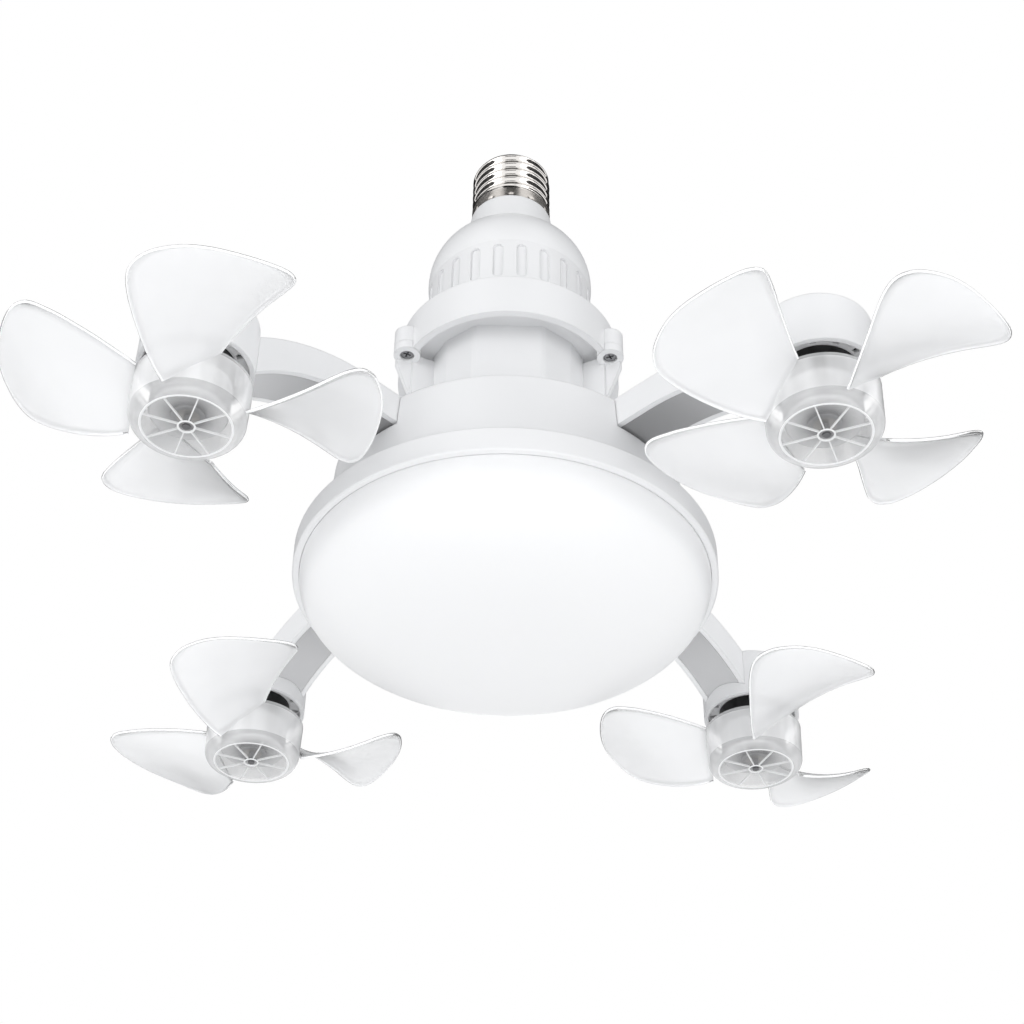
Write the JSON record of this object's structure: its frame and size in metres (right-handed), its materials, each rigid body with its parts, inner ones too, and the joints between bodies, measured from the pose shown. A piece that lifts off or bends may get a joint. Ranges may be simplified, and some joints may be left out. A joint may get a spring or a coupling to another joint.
{
  "type": "screw-in ceiling light with folding fan arms",
  "caption": "Screw-in ceiling light with a round milky diffuser and small fans on arched arms that fold up from slots in its body.",
  "frame": {"origin": "on the lamp's axis, at the lower end of the screw cap's skirt", "axes": "+Z along the screw cap towards its centre contact, up in use; the front faces -Y; the arms point to the four corners"},
  "size_m": [0.2518, 0.2544, 0.2],
  "materials": {
    "white_plastic": "satin moulded",
    "nickel_cap": "bright nickel plate",
    "dark_insulator": "moulded",
    "brass_contact": "tinned",
    "screw_steel": "zinc plated",
    "milky_diffuser": "opal satin",
    "aluminium_plate": "pressed sheet",
    "board_white": "white solder mask",
    "led_phosphor": "silicone",
    "board_green": "solder mask",
    "transformer": "ferrite and tape",
    "capacitor_sleeve": "shrink sleeve",
    "lead_insulation": "soft insulation",
    "motor_steel": "zinc plated can",
    "magnet_dark": "ferrite",
    "bearing_bronze": "sintered",
    "clear_plastic": "clear moulded, frosted blades"
  },
  "bodies": {
    "lamp": {"cap_shell": "nickel_cap", "cap_insulator": "dark_insulator", "cap_contact": "brass_contact", "neck_housing": "white_plastic", "clamp_ring": "white_plastic", "ring_screws": "screw_steel", "faceted_neck": "white_plastic", "body_shell": "white_plastic", "chassis_screws": "screw_steel", "bezel_ring": "white_plastic", "diffuser": "milky_diffuser", "chassis_plate": "aluminium_plate", "led_board": "board_white", "led_board_screws": "screw_steel", "led_chips": "led_phosphor", "driver_board": "board_green", "driver_transformer": "transformer", "driver_capacitors": "capacitor_sleeve", "inner_leads": "lead_insulation", "hinge_pin_front_left": "screw_steel", "hinge_pin_front_right": "screw_steel", "hinge_pin_rear_left": "screw_steel", "hinge_pin_rear_right": "screw_steel"},
    "arm_front_left": {"arm_shell_front_left": "white_plastic", "arm_cover_front_left": "white_plastic", "arm_leads_front_left": "lead_insulation", "motor_housing_front_left": "white_plastic", "motor_can_front_left": "motor_steel", "motor_magnets_front_left": "magnet_dark", "motor_bearings_front_left": "bearing_bronze"},
    "fan_front_left": {"motor_armature_front_left": "motor_steel", "impeller_front_left": "clear_plastic"},
    "arm_front_right": {"arm_shell_front_right": "white_plastic", "arm_cover_front_right": "white_plastic", "arm_leads_front_right": "lead_insulation", "motor_housing_front_right": "white_plastic", "motor_can_front_right": "motor_steel", "motor_magnets_front_right": "magnet_dark", "motor_bearings_front_right": "bearing_bronze"},
    "fan_front_right": {"motor_armature_front_right": "motor_steel", "impeller_front_right": "clear_plastic"},
    "arm_rear_left": {"arm_shell_rear_left": "white_plastic", "arm_cover_rear_left": "white_plastic", "arm_leads_rear_left": "lead_insulation", "motor_housing_rear_left": "white_plastic", "motor_can_rear_left": "motor_steel", "motor_magnets_rear_left": "magnet_dark", "motor_bearings_rear_left": "bearing_bronze"},
    "fan_rear_left": {"motor_armature_rear_left": "motor_steel", "impeller_rear_left": "clear_plastic"},
    "arm_rear_right": {"arm_shell_rear_right": "white_plastic", "arm_cover_rear_right": "white_plastic", "arm_leads_rear_right": "lead_insulation", "motor_housing_rear_right": "white_plastic", "motor_can_rear_right": "motor_steel", "motor_magnets_rear_right": "magnet_dark", "motor_bearings_rear_right": "bearing_bronze"},
    "fan_rear_right": {"motor_armature_rear_right": "motor_steel", "impeller_rear_right": "clear_plastic"}
  },
  "joints": [
    {"name": "arm_fold_front_left", "type": "hinge", "parent": "lamp", "child": "arm_front_left", "pos_m": [-0.03111, -0.03111, -0.122], "axis": [-0.7071, 0.7071, 0], "range_deg": [0, 90]},
    {"name": "fan_spin_front_left", "type": "hinge", "parent": "arm_front_left", "child": "fan_front_left", "pos_m": [-0.0799, -0.0799, -0.156], "axis": [0, 0, 1], "continuous": true},
    {"name": "arm_fold_front_right", "type": "hinge", "parent": "lamp", "child": "arm_front_right", "pos_m": [0.03111, -0.03111, -0.122], "axis": [-0.7071, -0.7071, 0], "range_deg": [0, 90]},
    {"name": "fan_spin_front_right", "type": "hinge", "parent": "arm_front_right", "child": "fan_front_right", "pos_m": [0.0799, -0.0799, -0.156], "axis": [0, 0, 1], "continuous": true},
    {"name": "arm_fold_rear_left", "type": "hinge", "parent": "lamp", "child": "arm_rear_left", "pos_m": [-0.03111, 0.03111, -0.122], "axis": [0.7071, 0.7071, 0], "range_deg": [0, 90]},
    {"name": "fan_spin_rear_left", "type": "hinge", "parent": "arm_rear_left", "child": "fan_rear_left", "pos_m": [-0.0799, 0.0799, -0.156], "axis": [0, 0, 1], "continuous": true},
    {"name": "arm_fold_rear_right", "type": "hinge", "parent": "lamp", "child": "arm_rear_right", "pos_m": [0.03111, 0.03111, -0.122], "axis": [0.7071, -0.7071, 0], "range_deg": [0, 90]},
    {"name": "fan_spin_rear_right", "type": "hinge", "parent": "arm_rear_right", "child": "fan_rear_right", "pos_m": [0.0799, 0.0799, -0.156], "axis": [0, 0, 1], "continuous": true}
  ]
}
